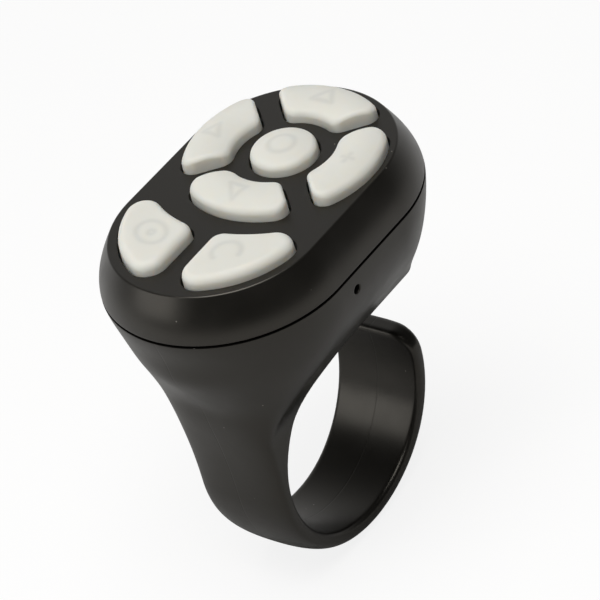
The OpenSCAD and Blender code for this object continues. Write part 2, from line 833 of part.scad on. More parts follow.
// Battery cell with rounded long edges
module battery_cell() {
    y = cell_w / 2 - cell_corner_r;
    z = cell_t / 2 - cell_corner_r;
    color(pouch_colour)
        translate([cell_x - cell_len / 2, 0, cell_z + cell_t / 2])
            rotate([90, 0, 90])
                linear_extrude(cell_len)
                    polygon(concat(
                        arc([y, z], cell_corner_r, 0, 90, corner_steps),
                        arc([-y, z], cell_corner_r, 90, 180, corner_steps),
                        arc([-y, -z], cell_corner_r, 180, 270, corner_steps),
                        arc([y, -z], cell_corner_r, 270, 360, corner_steps)
                    ));
}
module battery_tabs() {
    color(steel_colour)
        for (s = [-1, 1])
            block(
                [tab_len, tab_w, tab_t],
                [guard_x + guard_t / 2 + tab_len / 2, s * guard_w / 4, cell_z + cell_t / 2]
            );
}
module battery_guard() {
    color(board_colour)
        block([guard_t, guard_w, guard_h], [guard_x, 0, guard_z]);
}
module battery_tape() {
    color(tape_colour)
        block([cell_len - 2 * tape_edge, cell_w - 2 * tape_edge, tape_t], [cell_x, 0, floor_z]);
}
module battery_foam() {
    top = cell_z + cell_t;
    color(foam_colour)
        block(
            [foam_far_x - foam_near_x, foam_w, board_low_z - top],
            [(foam_far_x + foam_near_x) / 2, 0, top]
        );
}

// Wire from the guard board to the circuit board: it leaves and arrives upright
module wire(side) {
    low = [guard_x, guard_z + guard_h];
    high = [guard_x + wire_reach, board_low_z];
    stations = [
        for (k = [0:wire_steps])
            let (t = k / wire_steps, s = 1 - t)
                s * s * s * low + 3 * s * s * t * (low + [0, wire_lead])
                    + 3 * s * t * t * (high - [0, wire_lead]) + t * t * t * high
    ];
    through([
        for (k = [0:wire_steps])
            let (
                a = stations[max(0, k - 1)],
                b = stations[min(wire_steps, k + 1)],
                along = k == 0 || k == wire_steps ? [0, 1] : (b - a) / norm(b - a)
            )
                [
                    for (i = [0:wire_sides - 1])
                        let (q = polar(wire_r, 360 * i / wire_sides))
                            [
                                stations[k][0] + q[0] * along[1],
                                side * wire_y + q[1],
                                stations[k][1] - q[0] * along[0]
                            ]
                ]
    ]);
}
module wire_plus() {
    color("firebrick")
        wire(1);
}
module wire_minus() {
    color(plastic_colour)
        wire(-1);
}

// Small parts under the board
module under_board(size, x, y) {
    block(size, [x, y, board_low_z - size[2]]);
}
module radio_chip() {
    color(plastic_colour)
        under_board([radio_w, radio_w, radio_t], radio_x, radio_y);
}
module crystal_can() {
    color(steel_colour)
        under_board([crystal_l, crystal_w, crystal_t], radio_x, crystal_y);
}
module charger_chip() {
    color(plastic_colour)
        under_board([charger_l, charger_w, charger_t], charger_x, charger_y);
}
module charger_leads() {
    y = (charger_w + charger_lead_l) / 2;
    color(steel_colour) {
        for (k = [-1:1])
            under_board(
                [charger_lead_w, charger_lead_l, charger_lead_t],
                charger_x + k * charger_pitch, charger_y - y
            );
        for (k = [-1, 1])
            under_board(
                [charger_lead_w, charger_lead_l, charger_lead_t],
                charger_x + k * charger_pitch, charger_y + y
            );
    }
}
capacitor_spots = [for (k = [0:3]) [capacitor_x, radio_y + (k - 1) * chip_pitch]];
resistor_spots = [for (k = [-1:1]) [resistor_x, charger_y + k * chip_pitch]];
module capacitors() {
    color("tan")
        for (p = capacitor_spots)
            under_board([chip_l, chip_w, chip_t], p[0], p[1]);
}
module resistors() {
    color(plastic_colour)
        for (p = resistor_spots)
            under_board([chip_l, chip_w, chip_t], p[0], p[1]);
}
module chip_terminals() {
    color(steel_colour)
        for (p = concat(capacitor_spots, resistor_spots))
            for (s = [-1, 1])
                under_board([chip_end, chip_w, chip_t], p[0] + s * (chip_l + chip_end) / 2, p[1]);
}
module antenna_trace() {
    first_x = near_arc_x - board_r + trace_edge;
    color(gold_colour)
        union() {
            for (k = [0:trace_runs - 1])
                under_board([trace_w, trace_span, trace_t], first_x + k * trace_pitch, 0);
            for (k = [0:trace_runs - 2])
                under_board(
                    [trace_pitch + trace_w, trace_w, trace_t],
                    first_x + (k + 1 / 2) * trace_pitch,
                    (k % 2 == 0 ? 1 : -1) * (trace_span - trace_w) / 2
                );
        }
}
module indicator_led() {
    color("ivory")
        under_board([led_l, led_w, led_h], indicator_x, led_edge + led_w / 2 - board_r);
}

ring_body();
top_cover();
keypad_mat();
for (i = [0:6]) {
    key(i);
    switch_case(i);
    switch_dome(i);
    switch_stem(i);
}
switch_plates();
circuit_board();
cover_screws();
socket_shell();
socket_tongue();
socket_contacts();
battery_cell();
battery_tabs();
battery_guard();
battery_tape();
battery_foam();
wire_plus();
wire_minus();
radio_chip();
crystal_can();
charger_chip();
charger_leads();
capacitors();
resistors();
chip_terminals();
antenna_trace();
indicator_led();
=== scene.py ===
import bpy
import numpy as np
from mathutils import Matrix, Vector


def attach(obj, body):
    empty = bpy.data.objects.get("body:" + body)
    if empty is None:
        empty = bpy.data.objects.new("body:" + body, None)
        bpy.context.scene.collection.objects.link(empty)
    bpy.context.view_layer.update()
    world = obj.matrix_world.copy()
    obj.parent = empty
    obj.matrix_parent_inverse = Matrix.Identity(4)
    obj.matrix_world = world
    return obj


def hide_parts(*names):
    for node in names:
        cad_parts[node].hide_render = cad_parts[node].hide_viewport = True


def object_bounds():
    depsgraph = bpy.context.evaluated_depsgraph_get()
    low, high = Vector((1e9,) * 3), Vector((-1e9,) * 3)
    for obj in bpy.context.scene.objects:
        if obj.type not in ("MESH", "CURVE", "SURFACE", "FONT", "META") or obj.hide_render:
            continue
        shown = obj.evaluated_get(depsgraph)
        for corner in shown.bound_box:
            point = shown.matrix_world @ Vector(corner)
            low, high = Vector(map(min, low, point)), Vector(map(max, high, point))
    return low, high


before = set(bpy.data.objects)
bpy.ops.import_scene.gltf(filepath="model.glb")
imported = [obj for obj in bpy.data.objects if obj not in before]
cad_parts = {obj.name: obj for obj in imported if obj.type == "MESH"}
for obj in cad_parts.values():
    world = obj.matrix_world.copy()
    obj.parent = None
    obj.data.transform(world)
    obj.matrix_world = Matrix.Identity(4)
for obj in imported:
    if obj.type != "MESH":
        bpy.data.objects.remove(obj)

# A small remote control worn on a finger. The band, the casing, the cover, the keys and the
# charging socket are made here as fine surfaces; the pieces inside keep the part's own shapes.
# Lengths are millimetres, and angles degrees, until a mesh, light or camera is written.

cad_low, cad_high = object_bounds()
MM = 0.001

# Band: its radii, widths and domed edge, and its free end
FINGER_R = 11.3
BAND_R = 13.49
BAND_W = 9.7
BAND_SIDE_W = 10.6
BAND_CROWN = 1.2
TIP_Z = 2.6
TIP_HALF_W = 5.28
TIP_CORNER_R = 2.9
TIP_EDGE_R = 0.35

# Lower casing: its cut end over the band's free end, how its sides and ends fall in from the
# head to the band, and how square its plan gets on the way down
HEEL_Z = 10.2
HEEL_EDGE_R = 0.9
SIDE_DEPTH = 0.701
SIDE_FALL = 1.18
END_FALL = 0.645
SQUARE = 0.34
# The near half's swell, to each side and along, and the length over which it sets in
SWELL_W = 0.35
SWELL_CAP = 0.5
SWELL_BLEND = 10
# Folds in the neck of the near end, as height, spread and how far out, and the spread across
NECK = ((18.2, 2.3, 0.55), (12.9, 1.8, -0.25))
NECK_W = 5.5
WALL = 1.5
FLOOR_Z = 12.7
RIM_SPARE = 0.3
# Edge radii of the finger hole, the room inside, the step for the lip, and the two openings
HOLE_EDGE_R = 0.6
ROOM_EDGE_R = 0.15
REBATE_EDGE_R = 0.08
MOUTH_EDGE_R = 0.25
INDICATOR_EDGE_R = 0.12
# Spacing of the grid that the skin is taken from: all over, at edges, and at the finest forms
GRID = 0.3
EDGE_GRID = 0.15
FINE_GRID = 0.1

# Head and cover
HEAD_LEN = 37.6
HEAD_R = 13.0
HEAD_X = 0.3
FAR_X = 6.1
NEAR_X = -5.5
RIM_Z = 24.0
COVER_H = 4.85
COVER_LEAN = 1.85
PLATEAU_R = HEAD_R - COVER_LEAN
PLATEAU_Z = RIM_Z + COVER_H
PLATE_T = 1.2
PLATE_Z = PLATEAU_Z - PLATE_T
PLATEAU_EDGE = 0.16
EDGE_WIDTH = 1.6
FOOT_EDGE_R = 0.12
COVER_IN_R = 11.15
REVEAL = 0.25
LIP_Z = 22.8
LIP_R = 12.15
REBATE_R = 12.2
BOARD_Z = 23.7

# Snap ridges on the lip, and the room round them in the casing's pockets
SNAP_X = (4.3, -3.7)
SNAP_HALF_L = 1.5
SNAP_OUT = 0.3
SNAP_H = 0.5
SNAP_PLAY = 0.08

# Keys
PAD_X = 5.9
MIDDLE_R = 3.46
CURVED_IN_R = 5.36
CURVED_OUT_R = 10.41
CURVED_MID_R = (CURVED_IN_R + CURVED_OUT_R) / 2
CURVED_GAP = 2.4
CORNER_IN_R = 13.39
CORNER_OUT_R = 10.02
CORNER_GAP = 2.45
CORNER_KEY_R = 1.93
CORNER_HOLLOW_R = 1.64
KEY_CLEAR = 0.15
KEY_TOP_Z = 30.43
KEY_CROWN = 0.65
CROWN_R = 7.2
CORNER_TOP_Z = 30.12
CORNER_CROWN = 0.05
CORNER_CROWN_SHIFT = (0.35, -0.3)
KEY_DRAFT = 0.08
# How far a key's upper edge comes in, and how far down it starts
KEY_EDGE = (0.5, 0.5)
CORNER_EDGE = (0.84, 0.86)
KEY_LOW_Z = 26.85
KEY_LOW_EDGE = 0.12
KEY_POST_R = 1.1
KEY_POST_EDGE = 0.15
STEM_TOP_Z = 25.6
SPOTS = ("middle", "far", "left", "near", "right", "corner_left", "corner_right")

# The cover's screw posts and locating pins: places round the pad's middle, and radii
POST_TURNS = (137, 180, 223)
POST_RING_R = (CURVED_OUT_R + CORNER_IN_R) / 2
POST_R = 0.95
BORE_R = 0.48
BORE_DEPTH = 2.4
PIN_TURNS = (45, 315)
PIN_R = 0.4
PIN_TIP_R = 0.32
PIN_SHOULDER_R = 0.6
PIN_REACH = 0.5
PIN_EDGE = 0.1

# How far a tool, or a solid that is joined on, runs past the face that it meets
OVER = 0.5
SUNK = 0.4
PAST_HEAD_X = 25

# Charging socket and indicator hole
SOCKET_Z = 21.27
SOCKET_BACK_X = 9.954
SOCKET_MOUTH_X = 17.304
SOCKET_W = 8.94
SOCKET_H = 3.26
SOCKET_PLAY = 0.25
SOCKET_WALL = 0.25
SOCKET_LIP = 0.1
SOCKET_BASE_INSET = 0.28
SOCKET_BASE_LEN = 1.5
TONGUE_W = 6.7
TONGUE_H = 0.7
TONGUE_BACK = 0.7
TONGUE_SUNK = 0.3
INDICATOR_X = -2.9
INDICATOR_Z = 22.1
INDICATOR_R = 0.5


# ---- Meshes from arrays ----

def piece(name, points, faces):
    """Object of one mesh: points in millimetres, and faces as arrays of corner numbers, each
    array holding faces of one corner count."""
    mesh = bpy.data.meshes.new(name)
    faces = [np.atleast_2d(f) for f in faces]
    corners = np.concatenate([f.ravel() for f in faces]).astype(np.int32)
    counts = np.concatenate([np.full(len(f), f.shape[1]) for f in faces])
    starts = np.concatenate([[0], np.cumsum(counts)[:-1]]).astype(np.int32)
    mesh.vertices.add(len(points))
    mesh.vertices.foreach_set("co", (np.asarray(points) * MM).ravel())
    mesh.loops.add(len(corners))
    mesh.loops.foreach_set("vertex_index", corners)
    mesh.polygons.add(len(starts))
    mesh.polygons.foreach_set("loop_start", starts)
    mesh.update(calc_edges=True)
    mesh.validate()
    made = bpy.data.objects.new(name, mesh)
    bpy.context.scene.collection.objects.link(made)
    return made


def soften(made, sharp_angle):
    """Smooth shading that stays sharp where faces meet at more than an angle."""
    made.data.shade_smooth()
    made.data.set_sharp_from_angle(angle=np.radians(sharp_angle))
    return made


def tube_faces(rows, columns):
    """Faces between closed rings of points, row after row, each ring turning from +X to +Y."""
    first = np.arange(rows - 1)[:, None] * columns + np.arange(columns)[None, :]
    second = np.arange(rows - 1)[:, None] * columns + (np.arange(columns)[None, :] + 1) % columns
    return np.stack([first, second, second + columns, first + columns], -1).reshape(-1, 4)


def solid_of_rings(name, rings):
    """Closed solid through rings of points, lowest first, with a flat face on each end."""
    rows, columns = rings.shape[:2]
    low_cap = np.arange(columns)[::-1]
    high_cap = (rows - 1) * columns + np.arange(columns)
    return piece(name, rings.reshape(-1, 3), [tube_faces(rows, columns), low_cap, high_cap])


def together(name, solids):
    """One object from several solids' meshes, side by side."""
    with bpy.context.temp_override(
        active_object=solids[0], selected_editable_objects=solids, object=solids[0]
    ):
        bpy.ops.object.join()
    solids[0].name = name
    return solids[0]


def carve(made, tool, operation="DIFFERENCE"):
    """Cuts a tool's solid out of an object, or joins it on, and leaves one plain mesh."""
    step = made.modifiers.new(operation.lower(), "BOOLEAN")
    step.operation = operation
    step.solver = "EXACT"
    step.object = tool
    view = bpy.context.evaluated_depsgraph_get()
    result = bpy.data.meshes.new_from_object(made.evaluated_get(view))
    made.modifiers.clear()
    before = made.data
    made.data = result
    bpy.data.meshes.remove(before)
    bpy.data.objects.remove(tool)
    return made


# ---- Plan curves ----

def polar(radius, angle):
    """Points at a radius and angle about the origin."""
    return np.stack([radius * np.cos(np.radians(angle)), radius * np.sin(np.radians(angle))], -1)


def lifted(plan, z):
    """Points in plan taken up to a height, one for all of them or one for each."""
    heights = np.broadcast_to(np.reshape(z, (-1, 1)), (len(plan), 1))
    return np.concatenate([plan, heights], 1)


def oval_ring(radius, z, end_count=96, side_count=8):
    """Ring round the head's plan: a half circle about each end's centre, and two straight sides."""
    side = np.linspace(0, 1, side_count + 1, endpoint=False)[1:]
    turns = np.linspace(-90, 90, end_count)
    far = polar(radius, turns) + [FAR_X, 0]
    near = polar(radius, turns + 180) + [NEAR_X, 0]
    left = np.stack([FAR_X + (NEAR_X - FAR_X) * side, np.full(side_count, radius)], -1)
    right = np.stack([NEAR_X + (FAR_X - NEAR_X) * side, np.full(side_count, -radius)], -1)
    return lifted(np.concatenate([far, left, near, right]), z)


def oval_solid(name, profile):
    """Solid whose rings follow the head's oval, one for each radius and height of a profile."""
    return solid_of_rings(name, np.stack([oval_ring(radius, z) for radius, z in profile]))


def round_solid(name, x, y, profile, count=48):
    """Upright turned solid at a place in plan, from a profile of radii and heights."""
    turns = np.linspace(0, 360, count, endpoint=False)
    rings = [lifted(polar(radius, turns) + [x, y], z) for radius, z in profile]
    return solid_of_rings(name, np.stack(rings))


def box_solid(name, low, high):
    """Box between two corners."""
    ring = np.array([[low[0], low[1]], [high[0], low[1]], [high[0], high[1]], [low[0], high[1]]])
    return solid_of_rings(name, np.stack([lifted(ring, low[2]), lifted(ring, high[2])]))


def obround_ring(width, height, x, count=24):
    """Ring in a plane of constant x: a slot's outline about the socket's middle, seen from -X."""
    half = (width - height) / 2
    turns = np.linspace(-90, 90, count)
    right = polar(height / 2, turns) + [half, 0]
    left = polar(height / 2, turns + 180) - [half, 0]
    ring = np.concatenate([right, left])
    return np.stack([np.full(len(ring), x), ring[:, 0], ring[:, 1] + SOCKET_Z], -1)


# ---- Band and lower casing, as one moulding ----

def fall(t, power):
    """Falls from one to nothing as t goes from 0 to 1, level at both ends."""
    return np.cos(np.pi / 2 * np.clip(t, 0, 1) ** power) ** 2


def cap_distance(out, across, depth, half_width, power):
    """Distance from a rounded end's outline, |out/depth|^power + |across/half width|^power = 1,
    to first order: how far the sum's root is past one, over its slope."""
    u = np.maximum(out, 0) / depth
    v = np.abs(across) / half_width
    s = np.maximum((u ** power + v ** power) ** (1 / power), 1e-3)
    slope = np.hypot((u / s) ** (power - 1) / depth, (v / s) ** (power - 1) / half_width)
    return (s - 1) / np.maximum(slope, 1e-6)


def casing_distance(x, y, z, inset=0.0):
    """Distance from the casing's outside, drawn in by an inset. At each depth its plan is an
    oval that narrows from the head's width to the band's. Its near half swells by a squared sine
    between, and the near end stands out and draws in by the bell curves of the neck."""
    depth = RIM_Z - z
    near = np.clip(0.5 - x / SWELL_BLEND, 0, 1)
    near = near * near * (3 - 2 * near)
    swell = near * np.sin(np.pi * np.clip(depth / RIM_Z, 0, 1)) ** 2
    wide = fall(depth / (RIM_Z * SIDE_DEPTH), SIDE_FALL)
    long = fall(depth / RIM_Z, END_FALL)
    half_width = BAND_SIDE_W / 2 + (HEAD_R - BAND_SIDE_W / 2) * wide + SWELL_W * swell
    cap = BAND_CROWN + (HEAD_R - BAND_CROWN) * wide + SWELL_CAP * swell
    reach = BAND_R + (HEAD_LEN / 2 + np.where(x > 0, HEAD_X, -HEAD_X) - BAND_R) * long
    for height, spread, out in NECK:
        bell = np.exp(-(((z - height) / spread) ** 2) - (y / NECK_W) ** 2)
        reach = reach + np.where(x < 0, out, 0) * bell
    power = 2 + SQUARE * (1 - wide)
    cap_in = np.maximum(cap - inset, BAND_CROWN / 2)
    return cap_distance(np.abs(x) - reach + cap, y, cap_in, half_width - inset, power)


def round_meet(a, b, radius):
    """Meeting of two solids' fields with a rounded edge: a quarter circle where both are near."""
    corner = np.hypot(np.maximum(a + radius, 0), np.maximum(b + radius, 0))
    return np.minimum(np.maximum(a, b), -radius) + corner


def band_distance(x, y, z):
    """Distance from the band: a domed section carried round the finger hole, narrowest under
    the finger and wider by the square of x/r, cut level at its free end with rounded corners."""
    from_axis = np.maximum(np.hypot(x, z), 1e-6)
    half_width = (BAND_W + (BAND_SIDE_W - BAND_W) * (x / from_axis) ** 2) / 2
    out = from_axis - BAND_R + BAND_CROWN
    band = cap_distance(out, y, BAND_CROWN, half_width, 2 + SQUARE)
    across = np.abs(y) - TIP_HALF_W + TIP_CORNER_R
    up = z - TIP_Z + TIP_CORNER_R
    tip = np.hypot(np.maximum(across, 0), np.maximum(up, 0)) - TIP_CORNER_R
    tip = tip + np.minimum(np.maximum(across, up), 0)
    return np.where(x > 0, round_meet(band, tip, TIP_EDGE_R), band)


def casing_field(x, y, z):
    """Field of the band and casing, below zero inside: their outsides, less the finger hole, the
    room inside, the step for the cover's lip, the snap pockets, and the two openings. It stands a
    little past the rim, where the mesh is cut level afterwards."""
    casing = casing_distance(x, y, z)
    heel = round_meet(casing, HEEL_Z - z, HEEL_EDGE_R)
    casing = np.where(x > 0, heel, casing)
    middle = (HEEL_Z + TIP_Z) / 2
    upper = (z > middle) | ((x <= 0) & (z > 0))
    solid = np.where(upper, casing, band_distance(x, y, z))
    solid = round_meet(solid, FINGER_R - np.hypot(x, z), HOLE_EDGE_R)
    inside = np.maximum(casing_distance(x, y, z, WALL), FLOOR_Z - z)
    solid = round_meet(solid, -inside, ROOM_EDGE_R)
    from_oval = np.hypot(x - np.clip(x, NEAR_X, FAR_X), y)
    solid = round_meet(solid, -np.maximum(from_oval - REBATE_R, LIP_Z - z), REBATE_EDGE_R)
    for snap_x in SNAP_X:
        pocket = np.maximum(
            np.abs(x - snap_x) - SNAP_HALF_L - SNAP_PLAY,
            np.abs(np.abs(y) - LIP_R) - SNAP_OUT - SNAP_PLAY,
        )
        pocket = np.maximum(pocket, np.abs(z - LIP_Z - SNAP_H / 2) - SNAP_H / 2 - SNAP_PLAY)
        solid = np.maximum(solid, -pocket)
    solid = np.maximum(solid, z - RIM_Z - RIM_SPARE)
    half = (SOCKET_W - SOCKET_H) / 2
    opening = np.hypot(np.maximum(np.abs(y) - half, 0), z - SOCKET_Z) - SOCKET_H / 2 - SOCKET_PLAY
    solid = round_meet(solid, -np.maximum(opening, SOCKET_BACK_X - x), MOUTH_EDGE_R)
    bore = np.hypot(x - INDICATOR_X, z - INDICATOR_Z) - INDICATOR_R
    return round_meet(solid, -np.maximum(bore, y + REBATE_R / 2), INDICATOR_EDGE_R)


def slope_of(field, points, step=0.004):
    """Slope of a field at points, from its change over a small step either way."""
    shifts = np.eye(3) * step
    rises = [field(*(points + shift).T) - field(*(points - shift).T) for shift in shifts]
    return np.stack(rises, -1) / (2 * step)


def on_to_skin(field, points, times, longest=0.15):
    """Moves points down a field's slope until the field is nothing there, each time by no more
    than the longest step."""
    for _ in range(times):
        slope = slope_of(field, points)
        move = slope * (field(*points.T) / np.maximum((slope ** 2).sum(-1), 1e-6))[:, None]
        length = np.linalg.norm(move, axis=-1, keepdims=True)
        points = points - move * np.minimum(1, longest / np.maximum(length, 1e-9))
    return points


def net_surface(field, axes, evenings=4):
    """Skin of a solid whose field is below zero inside. Each cell that the skin crosses holds one
    point, the mean of the crossings on its edges, and each crossed edge gives one face through
    the four cells round it. The points are then evened out along the skin: each goes half way to
    the mean of its neighbours, but for the part of that way that leaves the skin."""
    values = field(*np.meshgrid(*axes, indexing="ij"))
    cells = np.array(values.shape) - 1
    strides = np.array([cells[1] * cells[2], cells[2], 1])
    sums = np.zeros((4, cells.prod()))
    loops = []
    for axis in range(3):
        _, up, over = np.roll(np.eye(3, dtype=int), -axis, axis=0)
        low, high = (np.take(values, np.arange(cells[axis]) + k, axis) for k in (0, 1))
        crossed = (low < 0) != (high < 0)
        spot = np.argwhere(crossed)
        low, high = low[crossed], high[crossed]
        place = np.stack([axes[k][spot[:, k]] for k in range(3)], 1)
        step = axes[axis][spot[:, axis] + 1] - axes[axis][spot[:, axis]]
        place[:, axis] += step * low / (low - high)
        loop = np.stack([(spot - s) @ strides for s in (up + over, over, 0 * up, up)], 1)
        for corner in loop.T:
            for k in range(3):
                sums[k] += np.bincount(corner, place[:, k], cells.prod())
            sums[3] += np.bincount(corner, minlength=cells.prod())
        loops.append(np.where((low < 0)[:, None], loop, loop[:, ::-1]))
    loops = np.concatenate(loops)
    used = np.flatnonzero(sums[3])
    points = (sums[:3, used] / sums[3, used]).T
    faces = np.searchsorted(used, loops)
    points = on_to_skin(field, points, 4)
    pairs = np.concatenate([faces[:, [k, (k + 1) % 4]] for k in range(4)])
    pairs = np.concatenate([pairs, pairs[:, ::-1]])
    shares = np.bincount(pairs[:, 0], minlength=len(points))[:, None]
    for _ in range(evenings):
        ends = points[pairs[:, 1]]
        totals = [np.bincount(pairs[:, 0], ends[:, k], len(points)) for k in range(3)]
        pull = np.stack(totals, 1) / shares - points
        slope = slope_of(field, points)
        slope = slope / np.linalg.norm(slope, axis=-1, keepdims=True)
        points = points + 0.5 * (pull - (pull * slope).sum(-1, keepdims=True) * slope)
        points = on_to_skin(field, points, 1)
    return on_to_skin(field, points, 2), faces


def spacing(start, *stretches):
    """Grid places from a start on, through stretches of (end, step)."""
    parts = []
    for end, step in stretches:
        parts.append(np.linspace(start, end, max(1, round((end - start) / step)), endpoint=False))
        start = end
    return np.concatenate(parts + [[start]])


def ring_body():
    """Band and lower casing: the skin of the casing's field, on a grid that is finer at the rim,
    at the band's edges and at the indicator hole, cut level at the rim for a crisp edge."""
    axes = (
        spacing(-19.2, (-3.8, GRID), (-2.0, FINE_GRID), (20.0, GRID)),
        spacing(
            -13.6, (-12.2, FINE_GRID), (-5.4, GRID), (-4.2, EDGE_GRID), (4.2, GRID),
            (5.4, EDGE_GRID), (13.7, GRID),
        ),
        spacing(-14.0, (21.2, GRID), (24.4, FINE_GRID)),
    )
    points, faces = net_surface(casing_field, axes)
    made = piece("ring_band_and_casing", points, [faces])
    reach = HEAD_LEN
    carve(made, box_solid("past_rim", (-reach, -reach, RIM_Z), (reach, reach, RIM_Z + reach)))
    return soften(made, 50)


# ---- Keys ----

def turned(points, angle):
    """Points turned about the origin."""
    c, s = np.cos(np.radians(angle)), np.sin(np.radians(angle))
    return np.asarray(points) @ np.array([[c, s], [-s, c]])


def aim(a, b):
    """Angle from one point to another."""
    return np.degrees(np.arctan2(b[1] - a[1], b[0] - a[0]))


def curved_centre(radius, corner_r):
    """Centre of a corner of a curved key, on a circle about the pad's middle."""
    n = CURVED_GAP / 2 + corner_r
    u = np.sqrt(radius ** 2 - n ** 2)
    return np.array([(u + n), (u - n)]) * np.sqrt(0.5)


def circle_cross(a, radius_a, b, radius_b):
    """Upper crossing of two circles whose centres lie on one level line."""
    apart = b[0] - a[0]
    along = (radius_a ** 2 - radius_b ** 2 + apart ** 2) / (2 * apart)
    return np.array([a[0] + along, np.sqrt(radius_a ** 2 - along ** 2)])


def curved_arcs():
    """Outline of a curved key on the +X side, as arcs of (centre, radius, hollow, from, to,
    points, points on the straight that follows)."""
    outer_r, inner_r = 1.38, 1.4
    outer = curved_centre(CURVED_OUT_R - outer_r, outer_r)
    inner = curved_centre(CURVED_IN_R + inner_r, inner_r)
    outer_a, inner_a = aim((0, 0), outer), aim((0, 0), inner)
    flip = np.array([1, -1])
    return [
        ((0, 0), CURVED_OUT_R, False, -outer_a, outer_a, 56, 0),
        (outer, outer_r, False, outer_a, 135, 14, 12),
        (inner, inner_r, False, 135, inner_a + 180, 14, 0),
        ((0, 0), CURVED_IN_R, True, inner_a, -inner_a, 30, 0),
        (inner * flip, inner_r, False, 180 - inner_a, 225, 14, 12),
        (outer * flip, outer_r, False, -135, -outer_a, 14, 0),
    ]


def corner_arcs():
    """Outline of the near end's key on the +Y side, as the same kind of arcs."""
    r, hollow_r = CORNER_KEY_R, CORNER_HOLLOW_R
    y, hollow_y = CORNER_GAP / 2 + r, CORNER_GAP / 2 + hollow_r
    near, pad = np.array([NEAR_X, 0.0]), np.array([PAD_X, 0.0])
    a = np.array([near[0] - np.sqrt((CORNER_OUT_R - r) ** 2 - y ** 2), y])
    b = np.array([pad[0] - np.sqrt((CORNER_IN_R + hollow_r) ** 2 - hollow_y ** 2), hollow_y])
    c = circle_cross(near, CORNER_OUT_R - r, pad, CORNER_IN_R + r)
    a_out, c_out, c_in, b_in = aim(near, a), aim(near, c), aim(pad, c), aim(pad, b)
    return [
        (c, r, False, c_in - 180, c_out, 18, 0),
        (near, CORNER_OUT_R, False, c_out, a_out, 44, 0),
        (a, r, False, a_out, 270, 18, 14),
        (b, hollow_r, False, 270, b_in + 180, 18, 0),
        (pad, CORNER_IN_R, True, b_in, c_in, 36, 0),
    ], (a + b + c) / 3


def arcs_outline(arcs, inset):
    """Closed outline through arcs, drawn in by an inset: solid arcs shrink, hollow ones grow."""
    runs = []
    for centre, radius, hollow, start, end, count, _ in arcs:
        radius = radius + inset if hollow else radius - inset
        runs.append(polar(radius, np.linspace(start, end, count)) + centre)
    parts = []
    for k, (run, arc) in enumerate(zip(runs, arcs)):
        straight = arc[6]
        following = runs[(k + 1) % len(runs)][0]
        parts.append(run if straight else run[:-1])
        if straight:
            parts.append(np.linspace(run[-1], following, straight + 2)[1:-1])
    return np.concatenate(parts)


def key_plan(spot):
    """Outline function of a key, and the places of its crown and of its switch."""
    pad = np.array([PAD_X, 0.0])
    turns = {"far": 0, "left": 90, "near": 180, "right": 270}
    if spot == "middle":
        round_turns = np.linspace(0, 360, 160, endpoint=False)
        return lambda inset: polar(MIDDLE_R - inset, round_turns) + pad, pad, pad
    if spot in turns:
        arcs, turn = curved_arcs(), turns[spot]
        crown, switch = np.array([CROWN_R, 0.0]), np.array([CURVED_MID_R, 0.0])
        return (
            lambda inset: turned(arcs_outline(arcs, inset), turn) + pad,
            turned(crown, turn) + pad,
            turned(switch, turn) + pad,
        )
    arcs, middle = corner_arcs()
    crown = middle + CORNER_CROWN_SHIFT
    if spot == "corner_left":
        return lambda inset: arcs_outline(arcs, inset), crown, middle
    flip = np.array([1, -1])
    return lambda inset: arcs_outline(arcs, inset)[::-1] * flip, crown * flip, middle * flip


def path_distance(x, y, path):
    """Distance in plan from a chain of points."""
    nearest = np.full(x.shape, 1e3)
    for (ax, ay), (bx, by) in zip(path[:-1], path[1:]):
        dx, dy = bx - ax, by - ay
        share = np.clip(((x - ax) * dx + (y - ay) * dy) / (dx ** 2 + dy ** 2), 0, 1)
        nearest = np.minimum(nearest, np.hypot(x - ax - share * dx, y - ay - share * dy))
    return nearest


def arc_path(centre, radius, start, end, squash=1.0, turn=0.0):
    """Chain of points on part of a circle or, squashed, of an oval that is turned."""
    points = polar(radius, np.linspace(start, end, 40)) * [1, squash]
    return turned(points, turn) + centre


# Plain moulded signs on the keys: the half width and depth of their lines, and their paths in plan
SIGN_LINE = 0.34
SIGN_DEPTH = 0.03
LEFT_SIGN, RIGHT_SIGN = (-10.0, 4.66), (-10.1, -4.45)
SIGNS = {
    "middle": [arc_path((PAD_X, 0), 1.35, 0, 360)],
    "far": [[(13.1, 1.2), (15.0, 0.0), (13.1, -1.2), (13.1, 1.2)]],
    "left": [[(5.0, 9.0), (6.6, 8.0), (4.8, 7.0), (5.0, 9.0)]],
    "near": [[(-1.1, 1.25), (-3.2, -0.3), (-1.2, -0.7), (-1.1, 1.25)]],
    "right": [[(5.3, -7.9), (6.5, -7.9)], [(5.9, -7.3), (5.9, -8.5)]],
    "corner_left": [arc_path(LEFT_SIGN, 1.9, 0, 360, 0.75, 62), arc_path(LEFT_SIGN, 0.3, 0, 360)],
    "corner_right": [arc_path(RIGHT_SIGN, 1.45, -90, 150)],
}


def key_height(spot, plan, crown):
    """Height of a key's top over its plan: a parabola across its width, or about its middle, and
    nearly level on the two keys of the near end."""
    if spot.startswith("corner"):
        return CORNER_TOP_Z - CORNER_CROWN * ((plan - crown) ** 2).sum(1) / CORNER_KEY_R ** 2 / 4
    off = np.linalg.norm(plan - [PAD_X, 0], axis=1)
    if spot == "middle":
        share = off / MIDDLE_R
    else:
        share = (off - CURVED_MID_R) / (CURVED_OUT_R - CURVED_MID_R)
    return KEY_TOP_Z - KEY_CROWN * share ** 2


